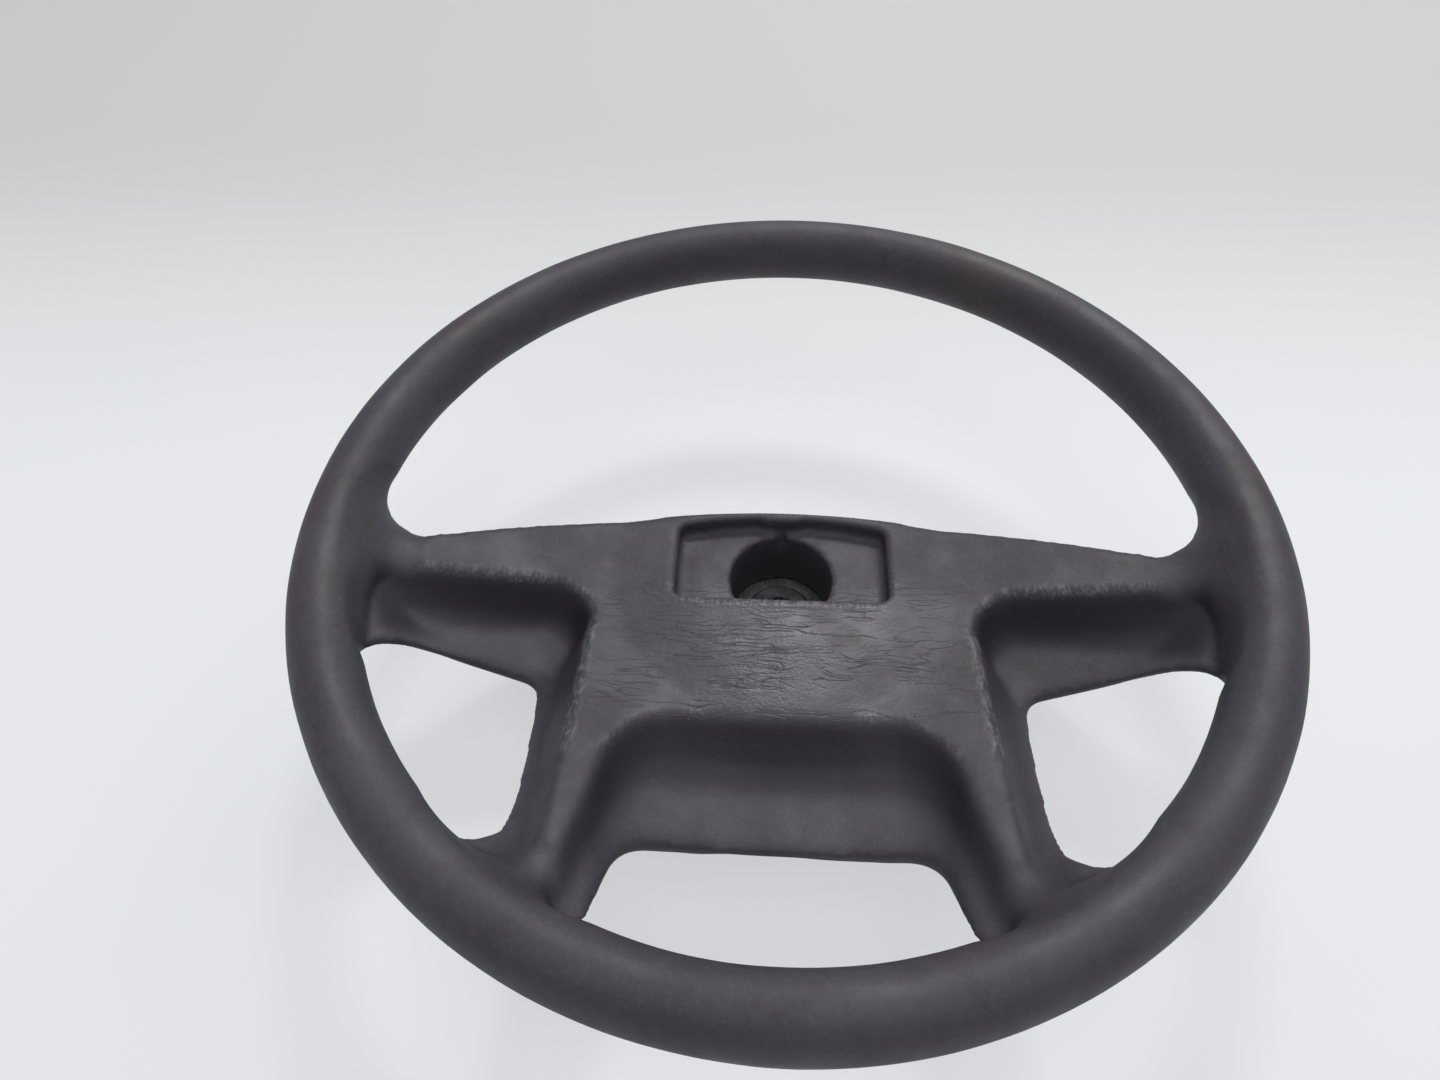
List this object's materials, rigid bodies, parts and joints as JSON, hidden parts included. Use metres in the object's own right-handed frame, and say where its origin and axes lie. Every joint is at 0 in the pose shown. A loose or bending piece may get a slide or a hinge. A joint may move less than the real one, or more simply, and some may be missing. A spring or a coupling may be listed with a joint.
{
  "type": "car steering wheel",
  "caption": "Deep-dished car steering wheel of dark foam moulded over a steel armature, with spokes, a hub pad with an empty badge recess and a nut access hole",
  "frame": {"origin": "on the steering axis, in the plane of the rear collar's end face", "axes": "+Z along the steering axis towards the driver, +Y towards 12 o'clock, +X towards the driver's right; the rim's middle plane is 100 mm above the origin"},
  "size_m": [0.38, 0.3798, 0.1149],
  "materials": {
    "foam": "matte grained skin, worn smooth in places",
    "armature_steel": "plain mild steel",
    "boss_steel": "turned steel"
  },
  "bodies": {
    "root": {"foam_moulding": "foam", "rim_ring": "armature_steel", "spoke_bar_left": "armature_steel", "spoke_bar_right": "armature_steel", "spoke_bar_lower_left": "armature_steel", "spoke_bar_lower_right": "armature_steel", "hub_plate": "armature_steel", "hub_boss": "boss_steel"}
  },
  "joints": []
}
